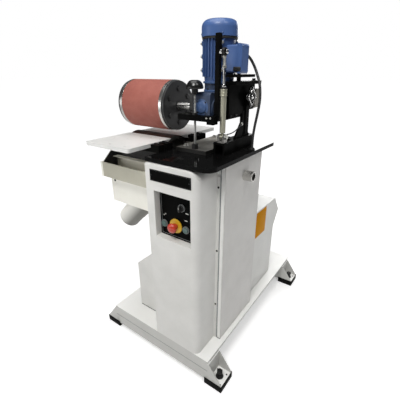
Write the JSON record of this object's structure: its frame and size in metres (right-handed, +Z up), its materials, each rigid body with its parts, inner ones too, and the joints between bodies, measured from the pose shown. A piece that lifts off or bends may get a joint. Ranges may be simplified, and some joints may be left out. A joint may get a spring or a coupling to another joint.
{
  "type": "drum sander",
  "caption": "Floor-standing drum sander: a sanding roller between small tables, under a powered feed drum on a swing arm, with column, plinth and controls.",
  "frame": {"origin": "on the floor under the middle of the bounding box", "axes": "+X to the right along the front, +Y to the back, +Z up"},
  "size_m": [0.714, 0.996, 1.421],
  "materials": {
    "white_paint": "satin",
    "cream_paint": "satin",
    "black_paint": "gloss",
    "blue_paint": "gloss",
    "gear_paint": "satin",
    "grey_paint": "satin",
    "machined_steel": "machined",
    "cast_dark": "satin",
    "bright_rod": "polished",
    "strut_paint": "satin",
    "light_alloy": "satin",
    "feed_covering": "matte",
    "abrasive": "matte",
    "black_rubber": "matte",
    "black_plastic": "satin",
    "bezel_plastic": "gloss",
    "yellow_plastic": "gloss",
    "red_plastic": "gloss",
    "green_plastic": "gloss"
  },
  "bodies": {
    "frame": {"plinth_deck": "white_paint", "front_beam": "white_paint", "rear_beam": "white_paint", "foot_brackets": "white_paint", "foot_bolts": "machined_steel", "foot_pads": "black_rubber", "column_left": "white_paint", "column_right": "white_paint", "column_front": "white_paint", "column_back": "white_paint", "front_cover": "white_paint", "nameplate": "black_plastic", "control_panel": "black_plastic", "control_bezels": "bezel_plastic", "estop_collar": "yellow_plastic", "rear_box": "white_paint", "switchgear": "black_plastic", "motor_guard": "white_paint", "main_motor": "grey_paint", "drive_belt": "black_rubber", "work_table": "black_paint", "infeed_table": "white_paint", "outfeed_table": "white_paint", "table_brackets": "black_paint", "spindle_housing": "cast_dark", "roller_housing": "white_paint", "dust_panel": "cream_paint", "dust_spigot": "white_paint", "arm_base": "black_paint", "rear_fork": "black_paint", "pivot_pin": "machined_steel", "strut_foot": "machined_steel", "stop_foot": "black_paint", "base_plate": "machined_steel", "motor_cable": "black_rubber", "table_gland": "black_plastic"},
    "swing_arm": {"arm_plate": "black_paint", "arm_side_plate": "black_paint", "arm_top_plates": "black_paint", "arm_post": "black_paint", "bearing_block": "cast_dark", "gearbox": "gear_paint", "feed_motor": "blue_paint", "fan_cowl": "blue_paint", "terminal_box": "blue_paint"},
    "feed_drum": {"drum_core": "machined_steel", "drum_cover": "feed_covering", "drum_discs": "black_paint", "drum_shaft": "machined_steel"},
    "sanding_roller": {"roller_core": "light_alloy", "roller_sleeve": "abrasive"},
    "motor_rotor": {"motor_pulley": "grey_paint"},
    "strut_tube": {"strut_tube": "strut_paint"},
    "strut_rod": {"strut_rod": "bright_rod"},
    "stop_screw": {"stop_screw": "black_plastic"},
    "handwheel": {"handwheel": "black_plastic"},
    "estop": {"estop_button": "red_plastic"},
    "left_button": {"left_button": "green_plastic"},
    "right_button": {"right_button": "green_plastic"},
    "selector": {"selector_knob": "black_plastic"}
  },
  "joints": [
    {"name": "arm_lift", "type": "hinge", "parent": "frame", "child": "swing_arm", "pos_m": [0.203, -0.083, 1.163], "axis": [-1, 0, 0], "range_deg": [0, 12], "deforming": ["motor_cable"]},
    {"name": "drum_spin", "type": "hinge", "parent": "swing_arm", "child": "feed_drum", "pos_m": [-0.144, -0.225, 1.127], "axis": [1, 0, 0], "continuous": true},
    {"name": "roller_spin", "type": "hinge", "parent": "frame", "child": "sanding_roller", "pos_m": [-0.158, -0.225, 0.916], "axis": [1, 0, 0], "continuous": true},
    {"name": "motor_spin", "type": "hinge", "parent": "frame", "child": "motor_rotor", "pos_m": [0.043, -0.225, 0.272], "axis": [1, 0, 0], "continuous": true},
    {"name": "strut_tilt", "type": "hinge", "parent": "frame", "child": "strut_tube", "pos_m": [0.211, -0.264, 1.036], "axis": [-1, 0, 0], "range_deg": [0, 6.5]},
    {"name": "strut_slide", "type": "slide", "parent": "strut_tube", "child": "strut_rod", "axis": [0, 0, 1], "range_m": [0, 0.0366]},
    {"name": "stop_turn", "type": "hinge", "parent": "swing_arm", "child": "stop_screw", "pos_m": [0.108, -0.29, 1.093], "axis": [0, 0, 1], "continuous": true},
    {"name": "wheel_turn", "type": "hinge", "parent": "frame", "child": "handwheel", "pos_m": [0.226, -0.083, 1.163], "axis": [1, 0, 0], "continuous": true},
    {"name": "estop_press", "type": "slide", "parent": "frame", "child": "estop", "axis": [0, 1, 0], "range_m": [0, 0.004], "stiffness_N_per_m": 1500},
    {"name": "left_press", "type": "slide", "parent": "frame", "child": "left_button", "axis": [0, 1, 0], "range_m": [0, 0.003], "stiffness_N_per_m": 600},
    {"name": "right_press", "type": "slide", "parent": "frame", "child": "right_button", "axis": [0, 1, 0], "range_m": [0, 0.003], "stiffness_N_per_m": 600},
    {"name": "selector_turn", "type": "hinge", "parent": "frame", "child": "selector", "pos_m": [0.148, -0.435, 0.796], "axis": [0, -1, 0], "range_deg": [-45, 45]}
  ],
  "couplings": [
    {"joint": "motor_spin", "follows": "roller_spin", "ratio": 0.6507},
    {"joint": "strut_tilt", "follows": "arm_lift", "ratio": 0.53516},
    {"joint": "strut_slide", "follows": "arm_lift", "m_per_rad": 0.17349}
  ]
}
